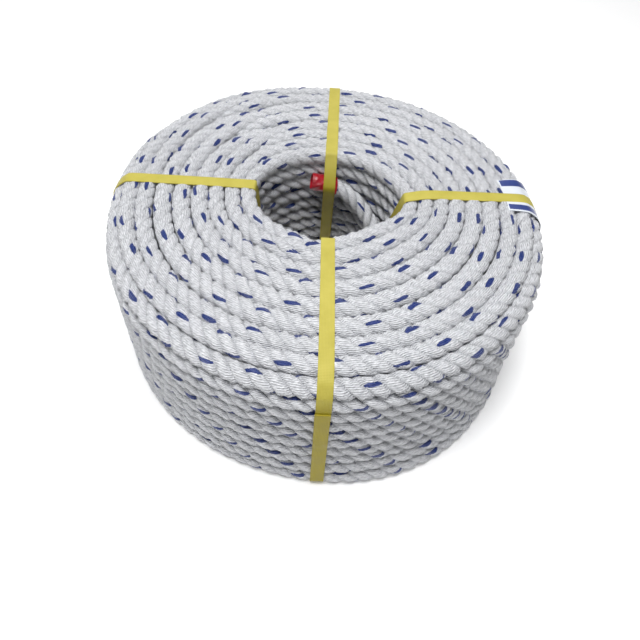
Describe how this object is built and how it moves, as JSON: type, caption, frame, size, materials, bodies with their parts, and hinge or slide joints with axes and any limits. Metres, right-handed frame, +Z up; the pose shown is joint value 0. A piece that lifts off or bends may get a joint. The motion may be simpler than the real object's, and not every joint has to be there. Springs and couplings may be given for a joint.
{
  "type": "tied coil of laid rope",
  "caption": "Free-standing coil of three-strand laid rope, wound without a drum round an open bore and held by narrow straps through it.",
  "frame": {"origin": "middle of the coil's base, on the surface that it rests on", "axes": "+Z up along the coil's axis, -Y towards the front strap, +X towards the right strap and the label"},
  "size_m": [0.2077, 0.2076, 0.0826],
  "materials": {
    "rope": "white polypropylene yarn with blue tracer yarns",
    "tape": "red plastic tape",
    "strap": "yellow embossed plastic strapping",
    "label": "coated paper with plain blue bars"
  },
  "bodies": {
    "root": {"rope_core": "rope", "rope_winding": "rope", "rope_inner_end": "rope", "inner_end_tape": "tape", "strap_left": "strap", "strap_right": "strap", "strap_back": "strap", "strap_front": "strap", "label": "label"}
  },
  "joints": []
}
